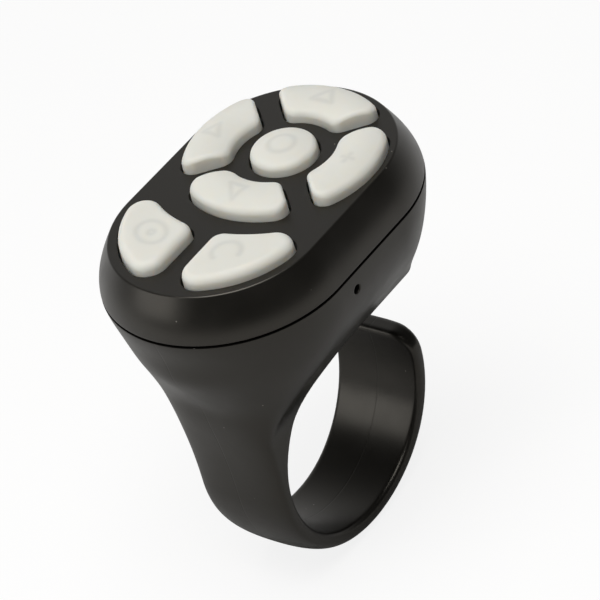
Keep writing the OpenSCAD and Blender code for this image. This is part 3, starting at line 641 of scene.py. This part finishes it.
def key_skin(spot):
    """Soft key on its post. Rings of one outline run up the post, out along the underside, up
    the drafted side, round the upper edge and in over the arched top to a point of it. The sign
    is pressed in by a smooth dent along its lines."""
    outline, crown, switch = key_plan(spot)
    around = outline(0.0) - crown
    around = around / np.linalg.norm(around, axis=1, keepdims=True)
    edge_in, edge_h = CORNER_EDGE if spot.startswith("corner") else KEY_EDGE
    rings = [
        (around * (KEY_POST_R - KEY_POST_EDGE) + switch, STEM_TOP_Z),
        (around * KEY_POST_R + switch, STEM_TOP_Z + KEY_POST_EDGE),
        (around * KEY_POST_R + switch, KEY_LOW_Z - KEY_POST_EDGE),
        (around * (KEY_POST_R + KEY_POST_EDGE) + switch, KEY_LOW_Z),
        (outline(KEY_LOW_EDGE), KEY_LOW_Z),
        (outline(0.0), KEY_LOW_Z + KEY_LOW_EDGE),
        (outline(0.0), PLATE_Z),
    ]
    edge_z = key_height(spot, outline(KEY_DRAFT), crown) - edge_h
    for share in (0.5, 1.0):
        rings.append((outline(KEY_DRAFT * share), PLATE_Z + (edge_z - PLATE_Z) * share))
    for a in np.radians(np.linspace(0, 90, 15))[1:]:
        plan = outline(KEY_DRAFT + edge_in * (1 - np.cos(a)))
        rings.append((plan, key_height(spot, plan, crown) - edge_h * (1 - np.sin(a))))
    brim = outline(KEY_DRAFT + edge_in)
    for share in np.linspace(0, 1, 44)[1:-1]:
        plan = crown + (brim - crown) * (1 - share)
        rings.append((plan, key_height(spot, plan, crown)))
    count = len(brim)
    centre = lifted(crown[None], key_height(spot, crown[None], crown))
    points = np.concatenate([lifted(plan, z) for plan, z in rings] + [centre])
    sign = np.min([path_distance(points[:, 0], points[:, 1], path) for path in SIGNS[spot]], axis=0)
    dent = np.exp(-((sign / SIGN_LINE) ** 2)) * (points[:, 2] > PLATEAU_Z + KEY_CROWN / 2)
    points[:, 2] -= SIGN_DEPTH * dent
    rows = len(rings)
    last = (rows - 1) * count + np.arange(count)
    fan = np.stack([last, np.roll(last, -1), np.full(count, rows * count)], 1)
    made = piece("key_cap_" + spot, points, [tube_faces(rows, count), fan, np.arange(count)[::-1]])
    # The dent's share is kept for the finish, which darkens the signs with painted shade.
    dent_shade = made.data.attributes.new("sign", "FLOAT", "POINT")
    dent_shade.data.foreach_set("value", dent.astype(np.float32))
    return soften(made, 60)


# ---- Top cover ----

def cover_side_r(z):
    """Radius of the cover's side at a height: a quarter cosine from the rim to the flat top."""
    return PLATEAU_R + COVER_LEAN * np.cos(np.pi / 2 * (z - RIM_Z) / COVER_H)


def key_hole(spot):
    """Tool for a key's hole: the key's outline and its clearance, flared at the cover's top."""
    outline = key_plan(spot)[0]
    flare = 0.1
    steps = [(KEY_CLEAR, PLATE_Z - OVER), (KEY_CLEAR, PLATEAU_Z - flare)]
    for a in np.radians([22.5, 45, 67.5, 90]):
        steps.append((KEY_CLEAR + flare * (1 - np.cos(a)), PLATEAU_Z - flare + flare * np.sin(a)))
    steps.append((KEY_CLEAR + flare, PLATEAU_Z + OVER))
    return solid_of_rings("hole_" + spot, np.stack([lifted(outline(-out), z) for out, z in steps]))


def cover_profile():
    """Radii and heights of the cover's outside: the lip, the rounded foot, the leaned side, and
    the rounded edge from the side's lean to the flat top."""
    foot = RIM_Z + REVEAL
    side_low, side_high = foot + FOOT_EDGE_R, PLATEAU_Z - PLATEAU_EDGE
    profile = [(LIP_R - FOOT_EDGE_R, LIP_Z), (LIP_R, LIP_Z + FOOT_EDGE_R), (LIP_R, foot)]
    for a in np.radians([0, 30, 60, 90]):
        radius = cover_side_r(side_low) - FOOT_EDGE_R * (1 - np.sin(a))
        profile.append((radius, foot + FOOT_EDGE_R * (1 - np.cos(a))))
    profile += [(cover_side_r(z), z) for z in np.linspace(side_low, side_high, 26)[1:]]
    lean = np.arctan(np.pi / 2 * COVER_LEAN / COVER_H)
    for a in np.linspace(lean, np.pi / 2, 6)[1:]:
        rise = (np.sin(a) - np.sin(lean)) / (1 - np.sin(lean))
        draw = (np.cos(lean) - np.cos(a)) * PLATEAU_EDGE * EDGE_WIDTH
        profile.append((cover_side_r(side_high) - draw, side_high + PLATEAU_EDGE * rise))
    return profile


def round_pad(radius, turns):
    """Places at a radius and several angles about the middle of the keys' round pad."""
    return [polar(radius, turn) + [PAD_X, 0] for turn in turns]


def top_cover():
    """Cover: an oval solid with leaned sides, a soft lower edge and a fine rounded edge at its
    flat top, hollowed, pierced by the key holes, with its posts, pins and snap ridges."""
    cover = oval_solid("cover", cover_profile())
    carve(cover, oval_solid("room", [(COVER_IN_R, LIP_Z - 2 * OVER), (COVER_IN_R, PLATE_Z)]))
    carve(cover, together("holes", [key_hole(spot) for spot in SPOTS]))
    post_top = PLATE_Z + SUNK
    added = []
    for x, y in round_pad(POST_RING_R, POST_TURNS):
        added.append(round_solid("post", x, y, [(POST_R, BOARD_Z), (POST_R, post_top)]))
    pin_end = BOARD_Z - PIN_REACH
    pin = [
        (PIN_TIP_R, pin_end - PIN_EDGE), (PIN_R, pin_end), (PIN_R, BOARD_Z),
        (PIN_SHOULDER_R, BOARD_Z), (PIN_SHOULDER_R, post_top),
    ]
    for x, y in round_pad(CURVED_MID_R, PIN_TURNS):
        added.append(round_solid("pin", x, y, pin))
    for x in SNAP_X:
        for side in (-1, 1):
            low_y, high_y = sorted((side * (LIP_R - SNAP_OUT), side * (LIP_R + SNAP_OUT)))
            low, high = (x - SNAP_HALF_L, low_y, LIP_Z), (x + SNAP_HALF_L, high_y, LIP_Z + SNAP_H)
            added.append(box_solid("snap", low, high))
    carve(cover, together("posts", added), "UNION")
    bore = [(BORE_R, BOARD_Z - OVER), (BORE_R, BOARD_Z + BORE_DEPTH)]
    bores = [round_solid("bore", x, y, bore) for x, y in round_pad(POST_RING_R, POST_TURNS)]
    carve(cover, together("bores", bores))
    width, height = SOCKET_W + 2 * SOCKET_PLAY, SOCKET_H + 2 * SOCKET_PLAY
    mouth = [obround_ring(width, height, x) for x in (SOCKET_BACK_X, PAST_HEAD_X)]
    carve(cover, solid_of_rings("mouth", np.stack(mouth)))
    cover.name = "cover_with_key_holes"
    soften(cover, 35)
    even = cover.modifiers.new("even_normals", "WEIGHTED_NORMAL")
    even.keep_sharp = True
    even.weight = 80
    return cover


# ---- Charging socket ----

def socket_shell():
    """Folded steel shell: a slot's outline carried in, round a soft front lip and back inside."""
    lip_x = SOCKET_MOUTH_X - SOCKET_LIP
    rows = [(0.0, SOCKET_BACK_X), (0.0, lip_x)]
    for a in np.radians(np.linspace(0, 180, 9))[1:-1]:
        rows.append((SOCKET_WALL / 2 * (1 - np.cos(a)), lip_x + SOCKET_LIP * np.sin(a)))
    rows += [(SOCKET_WALL, lip_x), (SOCKET_WALL, SOCKET_BACK_X)]
    rings = np.stack([obround_ring(SOCKET_W - 2 * d, SOCKET_H - 2 * d, x) for d, x in rows])
    count, columns = rings.shape[:2]
    first = np.arange(columns)
    last = (count - 1) * columns + first
    back = np.stack([last, np.roll(last, -1), np.roll(first, -1), first], 1)
    made = piece("socket_sleeve", rings.reshape(-1, 3), [tube_faces(count, columns), back])
    return soften(made, 50)


def socket_tongue():
    """Moulded base that fills the shell's back, and the tongue that its contacts lie in."""
    edge = 0.1
    inset, front = SOCKET_BASE_INSET, SOCKET_MOUTH_X - TONGUE_BACK
    steps = ((inset, 0.0), (inset, SOCKET_BASE_LEN - edge), (inset + edge, SOCKET_BASE_LEN))
    base = [obround_ring(SOCKET_W - 2 * d, SOCKET_H - 2 * d, SOCKET_BACK_X + x) for d, x in steps]
    root = SOCKET_BACK_X + SOCKET_BASE_LEN - TONGUE_SUNK
    steps = ((0.0, root), (0.0, front - 0.3), (0.06, front - edge), (0.2, front))
    tongue = [obround_ring(TONGUE_W - 2 * d, TONGUE_H - 2 * d, x, 8) for d, x in steps]
    solids = [solid_of_rings("base", np.stack(base)), solid_of_rings("tongue", np.stack(tongue))]
    return soften(together("socket_base_and_tongue", solids), 40)


# ---- Finishes ----

def linear(colour):
    """Linear colour with full opacity from an sRGB hex value."""
    parts = np.array([int(colour[k:k + 2], 16) for k in (1, 3, 5)]) / 255
    parts = np.where(parts <= 0.04045, parts / 12.92, ((parts + 0.055) / 1.055) ** 2.4)
    return (*map(float, parts), 1.0)


def per_mm(size):
    """Scale of a pattern whose features are a size in millimetres."""
    return 1 / (size * MM)


def add(tree, kind, values=(), links=()):
    """Adds a node. Values set its properties or inputs, and links join its inputs to outputs."""
    node = tree.nodes.new(kind)
    for name, value in dict(values).items():
        if isinstance(name, int) or name in node.inputs:
            node.inputs[name].default_value = value
        else:
            setattr(node, name, value)
    for name, output in dict(links).items():
        tree.links.new(node.inputs[name], output)
    return node


def join_up(tree, shader, colour, roughness, normal):
    """Joins a finish's colour, roughness and bump to its shader."""
    for name, output in (("Base Color", colour), ("Roughness", roughness), ("Normal", normal)):
        tree.links.new(shader.inputs[name], output)


def base_finish(name, colour, roughness, metallic=0.0, ior=1.5):
    """Material with its shader's constants set; gives the material, its nodes, its shader and
    the place on the object."""
    material = bpy.data.materials.new(name)
    material.use_nodes = True
    tree = material.node_tree
    shader = tree.nodes["Principled BSDF"]
    shader.inputs["Base Color"].default_value = linear(colour)
    shader.inputs["Roughness"].default_value = roughness
    shader.inputs["Metallic"].default_value = metallic
    shader.inputs["IOR"].default_value = ior
    material.diffuse_color = linear(colour)
    return material, tree, shader, add(tree, "ShaderNodeTexCoord").outputs["Object"]


def satin_abs(name, colour, mould_line):
    """ABS from a spark-textured mould: a satin black that shows wide soft lights. The texture
    is finer than 0.05 mm, so it is drawn at 0.14 mm, as coarse as it needs to show. A little
    dust lies on it. The moulding of band and casing also has a fine groove where its mould's
    halves met, in the plane through the middle."""
    material, tree, shader, place = base_finish(name, colour, 0.33, ior=1.53)
    # The reflections are tinted warm: a painted warmth of the light that they show.
    shader.inputs["Specular Tint"].default_value = linear("#fff8eb")
    patch = add(
        tree, "ShaderNodeTexNoise", {"Scale": per_mm(4.0), "Detail": 3.0}, {"Vector": place}
    )
    wear = add(
        tree, "ShaderNodeMapRange",
        {"From Min": 0.35, "From Max": 0.65, "To Min": 0.3, "To Max": 0.36},
        {"Value": patch.outputs["Fac"]},
    )
    dust = add(
        tree, "ShaderNodeTexVoronoi", {"Scale": per_mm(2.6), "Randomness": 1.0}, {"Vector": place}
    )
    speck = add(
        tree, "ShaderNodeMapRange",
        {"From Min": 0.014, "From Max": 0.03, "To Min": 0.6, "To Max": 0.0},
        {"Value": dust.outputs["Distance"]},
    )
    colours = add(
        tree, "ShaderNodeMix", {"data_type": "RGBA", 6: linear(colour), 7: linear("#a39e96")},
        {0: speck.outputs["Result"]},
    )
    grain = add(
        tree, "ShaderNodeTexNoise", {"Scale": per_mm(0.14), "Detail": 2.0}, {"Vector": place}
    )
    height = grain.outputs["Fac"]
    if mould_line:
        parts = add(tree, "ShaderNodeSeparateXYZ", (), {"Vector": place})
        off = add(tree, "ShaderNodeMath", {"operation": "ABSOLUTE"}, {0: parts.outputs["Y"]})
        ridge = add(
            tree, "ShaderNodeMapRange",
            {"From Min": 0.02 * MM, "From Max": 0.08 * MM, "To Min": -4.0, "To Max": 0.0},
            {"Value": off.outputs[0]},
        )
        height = add(
            tree, "ShaderNodeMath", {"operation": "ADD"}, {0: height, 1: ridge.outputs["Result"]}
        ).outputs[0]
    bump = add(
        tree, "ShaderNodeBump", {"Strength": 0.6, "Distance": 0.004 * MM}, {"Height": height}
    )
    join_up(tree, shader, colours.outputs[2], wear.outputs["Result"], bump.outputs["Normal"])
    return material


def soft_silicone(name, colour, sign_shade_colour):
    """Silicone rubber from a finely blasted mould: matt, and light goes a little way into it,
    which warms its shaded sides. The blasting is finer than 0.05 mm and is drawn at 0.16 mm. The
    pressed-in signs are darker in their dents, by painted shade."""
    material, tree, shader, place = base_finish(name, colour, 0.5, ior=1.41)
    shader.inputs["Subsurface Weight"].default_value = 1.0
    shader.inputs["Subsurface Radius"].default_value = (1.0, 0.88, 0.75)
    shader.inputs["Subsurface Scale"].default_value = 1.5 * MM
    sign = add(tree, "ShaderNodeAttribute", {"attribute_name": "sign"})
    share = add(
        tree, "ShaderNodeMapRange", {"From Min": 0.1, "From Max": 1.0, "To Max": 0.5},
        {"Value": sign.outputs["Fac"]},
    )
    # Painted shade: along the signs' dents the colour goes towards the darker sign colour.
    colours = add(
        tree, "ShaderNodeMix", {"data_type": "RGBA", 6: linear(colour), 7: linear(sign_shade_colour)},
        {0: share.outputs["Result"]},
    )
    patch = add(
        tree, "ShaderNodeTexNoise", {"Scale": per_mm(2.5), "Detail": 3.0}, {"Vector": place}
    )
    wear = add(
        tree, "ShaderNodeMapRange",
        {"From Min": 0.3, "From Max": 0.7, "To Min": 0.46, "To Max": 0.56},
        {"Value": patch.outputs["Fac"]},
    )
    grain = add(
        tree, "ShaderNodeTexNoise", {"Scale": per_mm(0.16), "Detail": 2.0}, {"Vector": place}
    )
    bump = add(
        tree, "ShaderNodeBump", {"Strength": 0.5, "Distance": 0.003 * MM},
        {"Height": grain.outputs["Fac"]},
    )
    join_up(tree, shader, colours.outputs[2], wear.outputs["Result"], bump.outputs["Normal"])
    return material


def grained(name, colour, other_colour, roughness, grain, rise, metallic=0.0, stretch=(1, 1, 1)):
    """Finish whose colour and roughness change a little over a grain, which also stands up.
    Grain and rise are millimetres. A stretch draws the grain out, as rolling does."""
    material, tree, shader, place = base_finish(name, colour, roughness, metallic)
    drawn = add(
        tree, "ShaderNodeMapping", {"vector_type": "POINT", "Scale": stretch}, {"Vector": place}
    )
    noise = add(
        tree, "ShaderNodeTexNoise", {"Scale": per_mm(grain), "Detail": 3.0},
        {"Vector": drawn.outputs["Vector"]},
    )
    colours = add(
        tree, "ShaderNodeMix", {"data_type": "RGBA", 6: linear(colour), 7: linear(other_colour)},
        {0: noise.outputs["Fac"]},
    )
    wear = add(
        tree, "ShaderNodeMapRange",
        {"From Min": 0.3, "From Max": 0.7, "To Min": roughness * 0.85, "To Max": roughness * 1.15},
        {"Value": noise.outputs["Fac"]},
    )
    bump = add(
        tree, "ShaderNodeBump", {"Strength": 0.5, "Distance": rise * MM},
        {"Height": noise.outputs["Fac"]},
    )
    join_up(tree, shader, colours.outputs[2], wear.outputs["Result"], bump.outputs["Normal"])
    return material


SHELL_BLACK = "#0f0e0c"
KEY_WHITE = "#d9d8d0"
# Key white darkened: painted shade for the signs' dents
SIGN_SHADE_WHITE = "#c6c6c0"
MAT_WHITE = "#c9c6bb"
ROLLED = (0.15, 1, 1)
FINISHES = {
    "casing_abs": satin_abs("satin_black_abs_casing", SHELL_BLACK, True),
    "cover_abs": satin_abs("satin_black_abs_cover", SHELL_BLACK, False),
    "key_silicone": soft_silicone("white_silicone_keys", KEY_WHITE, SIGN_SHADE_WHITE),
    "mat_silicone": soft_silicone("white_silicone_mat", MAT_WHITE, MAT_WHITE),
    # Nylon moulded with chopped glass: black with a faint mottle of the fibres at its skin
    "nylon": grained("black_glass_filled_nylon", "#1b1b1d", "#262628", 0.45, 0.3, 0.01),
    # Steel strip straight from the rolls: bright, with its gloss drawn out along the rolling
    "spring_steel": grained(
        "rolled_spring_steel", "#b6b8ba", "#a2a5a8", 0.28, 0.4, 0.004, 1.0, ROLLED
    ),
    # Drawn steel under nickel: smoother and a little warmer than bare steel
    "socket_steel": grained(
        "nickel_plated_socket_steel", "#bfc1c2", "#a9acae", 0.24, 0.5, 0.004, 1.0, ROLLED
    ),
    # Solder mask screened over woven glass: a half-gloss green with the weave's soft waves
    "board": grained("green_solder_mask_on_glass_epoxy", "#1d4a34", "#255a40", 0.35, 0.9, 0.01),
    # Gold flashed over copper: a clear warm gloss
    "gold": grained("gold_plated_copper", "#c9a24a", "#bb9340", 0.25, 0.3, 0.003, 1.0),
    # Laminate pressed over a cell: dull silver with small dents
    "pouch": grained("aluminium_laminate_pouch", "#a9adb0", "#9a9ea2", 0.38, 1.2, 0.03, 0.7),
    # Cast film: smooth amber
    "tape": grained("amber_polyimide_tape", "#c48a2e", "#b87c22", 0.3, 1.5, 0.01),
    # Foam cut from a block: fully matt, with the pits of cut cells
    "foam": grained("charcoal_closed_cell_foam", "#3a3a3c", "#2d2d2f", 0.9, 0.35, 0.08),
    # Silicone drawn over wire: an even soft gloss
    "red_wire": grained("red_silicone_wire_cover", "#a3261f", "#94201a", 0.5, 0.5, 0.01),
    "black_wire": grained("black_silicone_wire_cover", "#1b1b1d", "#242426", 0.5, 0.5, 0.01),
    # Ceramic fired from powder: matt tan with a fine speckle
    "ceramic": grained("tan_fired_ceramic", "#b79b74", "#a68a64", 0.6, 0.2, 0.01),
    # Cast epoxy with a smooth gloss, coloured dark: painted shade of the deep indicator hole that
    # it lies behind
    "led": grained("dark_lens_painted_shade", "#1d1d1c", "#242422", 0.25, 0.6, 0.003),
}


def coat(made, finish):
    """Gives an object one finish."""
    made.data.materials.clear()
    made.data.materials.append(FINISHES[finish])


# The finish of each CAD node that keeps its shape
NODE_FINISHES = {
    "keypad_mat": "mat_silicone",
    "switch_plates": "spring_steel",
    "circuit_board": "board",
    "cover_screws": "spring_steel",
    "socket_contacts": "gold",
    "battery_cell": "pouch",
    "battery_tabs": "spring_steel",
    "battery_guard": "board",
    "battery_tape": "tape",
    "battery_foam": "foam",
    "wire_plus": "red_wire",
    "wire_minus": "black_wire",
    "radio_chip": "nylon",
    "crystal_can": "spring_steel",
    "charger_chip": "nylon",
    "charger_leads": "spring_steel",
    "capacitors": "ceramic",
    "resistors": "nylon",
    "chip_terminals": "spring_steel",
    "antenna_trace": "gold",
    "indicator_led": "led",
}
for spot in SPOTS:
    NODE_FINISHES["switch_case_" + spot] = "nylon"
    NODE_FINISHES["switch_dome_" + spot] = "spring_steel"
    NODE_FINISHES["switch_stem_" + spot] = "nylon"


# ---- Building ----

def build():
    """Makes the pieces, gives each its finish, and sets it on its body and in place of its
    CAD node."""
    for node, finish in NODE_FINISHES.items():
        coat(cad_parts[node], finish)
    made_for = [
        (ring_body(), "casing_abs", "shell", "housing", "ring_body"),
        (top_cover(), "cover_abs", "shell", "housing", "top_cover"),
        (socket_shell(), "socket_steel", "socket_steel", "housing", "socket_shell"),
        (socket_tongue(), "nylon", "black_plastic", "housing", "socket_tongue"),
    ]
    silicone = "key_silicone"
    for spot in SPOTS:
        made_for.append((key_skin(spot), silicone, silicone, "button_" + spot, "key_" + spot))
    for made, finish, slot, body, node in made_for:
        coat(made, finish)
        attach(made, body)
        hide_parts(node)


# ---- Studio ----

WHITE = (1.0, 1.0, 1.0, 1.0)


def set_pose(made, side, up, back, place):
    """Places an object by its three axes and its place in millimetres."""
    matrix = np.eye(4)
    matrix[:3, :3] = np.stack([side, up, back], 1)
    matrix[:3, 3] = np.array(place) * MM
    made.matrix_world = Matrix(matrix)


def softbox(name, place, towards, size, power):
    """Flat soft light of a size in millimetres and a power in watts, which faces a point."""
    light = bpy.data.lights.new(name, "AREA")
    light.shape = "RECTANGLE"
    light.size, light.size_y = size[0] * MM, size[1] * MM
    light.energy = power
    made = bpy.data.objects.new(name, light)
    bpy.context.scene.collection.objects.link(made)
    back = np.array(place, float) - np.array(towards, float)
    back /= np.linalg.norm(back)
    side = np.cross((0.1, 0.1, 1), back)
    side /= np.linalg.norm(side)
    set_pose(made, side, np.cross(back, side), back, place)


def camera():
    """Camera at the photograph's angle: turn, height and roll about the head's middle."""
    turn, height, roll = np.radians([-46.332, 36.966, -15.375])
    distance, right_shift, up_shift = 395.91, 3.552, -7.119
    back = np.array([np.sin(turn) * np.cos(height), -np.cos(turn) * np.cos(height), np.sin(height)])
    level = np.array([np.cos(turn), np.sin(turn), 0.0])
    above = np.cross(back, level)
    right = np.cos(roll) * level + np.sin(roll) * above
    up = np.cos(roll) * above - np.sin(roll) * level
    place = np.array([HEAD_X, 0, RIM_Z]) + back * distance + right * right_shift + up * up_shift
    data = bpy.data.cameras.new("camera")
    data.lens, data.sensor_width = 242.5, 36.0
    data.clip_start, data.clip_end = 0.01, 20.0
    made = bpy.data.objects.new("camera", data)
    bpy.context.scene.collection.objects.link(made)
    set_pose(made, right, up, back, place)
    bpy.context.scene.camera = made


def floor():
    """Plain pale floor. The camera sees mostly its own white, so that it is white where nothing
    shades it and still holds the object's shadow. A gloss sees on it a painted glow that fades
    to nothing near the object: a painted shadow of the object in its reflections."""
    low = float(cad_low[2]) / MM
    reach = 1500.0
    corners = lifted(reach * np.array([[-1, -1], [1, -1], [1, 1], [-1, 1]]), low)
    made = piece("pale_floor", corners, [np.arange(4)])
    material = bpy.data.materials.new("pale_paper")
    material.use_nodes = True
    tree = material.node_tree
    shader = tree.nodes["Principled BSDF"]
    shader.inputs["Base Color"].default_value = linear("#fbfaf8")
    shader.inputs["Roughness"].default_value = 0.9
    shader.inputs["Specular IOR Level"].default_value = 0.0
    rays = add(tree, "ShaderNodeLightPath")
    white = add(tree, "ShaderNodeEmission", {"Color": WHITE, "Strength": 1.0})
    place = add(tree, "ShaderNodeTexCoord").outputs["Object"]
    # Painted shadow for glosses: the glow below is nothing within 20 mm of the object and grows
    # away from it.
    away = add(tree, "ShaderNodeVectorMath", {"operation": "LENGTH"}, {0: place})
    level = add(
        tree, "ShaderNodeMapRange",
        {"From Min": 20 * MM, "From Max": 120 * MM, "To Min": 0.0, "To Max": 0.8},
        {"Value": away.outputs["Value"]},
    )
    painted_glow = add(
        tree, "ShaderNodeEmission", {"Color": WHITE}, {"Strength": level.outputs["Result"]}
    )
    surface = shader
    for share, glow, ray in ((0.5, painted_glow, "Is Glossy Ray"), (0.85, white, "Is Camera Ray")):
        part = add(
            tree, "ShaderNodeMath", {"operation": "MULTIPLY", 1: share}, {0: rays.outputs[ray]}
        )
        surface = add(
            tree, "ShaderNodeMixShader", (),
            {0: part.outputs[0], 1: surface.outputs[0], 2: glow.outputs[0]},
        )
    tree.links.new(tree.nodes["Material Output"].inputs["Surface"], surface.outputs[0])
    made.data.materials.append(material)


def studio():
    """Room that is pale low down behind the object and dark behind the camera, and soft lights.
    The camera sees the room as white."""
    scene = bpy.context.scene
    scene.view_settings.view_transform = "Standard"
    world = bpy.data.worlds.new("pale_room")
    world.use_nodes = True
    scene.world = world
    tree = world.node_tree
    tree.nodes.clear()
    rays = add(tree, "ShaderNodeLightPath")
    looks = add(tree, "ShaderNodeTexCoord")
    beyond = add(
        tree, "ShaderNodeVectorMath", {"operation": "DOT_PRODUCT", 1: (0.68, 0.65, -0.34)},
        {0: looks.outputs["Generated"]},
    )
    strength = add(
        tree, "ShaderNodeMapRange",
        {
            "interpolation_type": "SMOOTHSTEP",
            "From Min": 0.0, "From Max": 0.9, "To Min": 0.06, "To Max": 0.65,
        },
        {"Value": beyond.outputs["Value"]},
    )
    room = add(
        tree, "ShaderNodeBackground", {"Color": WHITE}, {"Strength": strength.outputs["Result"]}
    )
    white = add(tree, "ShaderNodeBackground", {"Color": WHITE, "Strength": 1.0})
    both = add(
        tree, "ShaderNodeMixShader", (),
        {0: rays.outputs["Is Camera Ray"], 1: room.outputs[0], 2: white.outputs[0]},
    )
    add(tree, "ShaderNodeOutputWorld", (), {"Surface": both.outputs[0]})
    middle = (0, 0, 15)
    softbox("top_softbox", (-90, -50, 420), middle, (300, 300), 1.68)
    softbox("left_softbox", (-343, 232, 176), middle, (320, 250), 0.5)
    floor()


build()
camera()
studio()
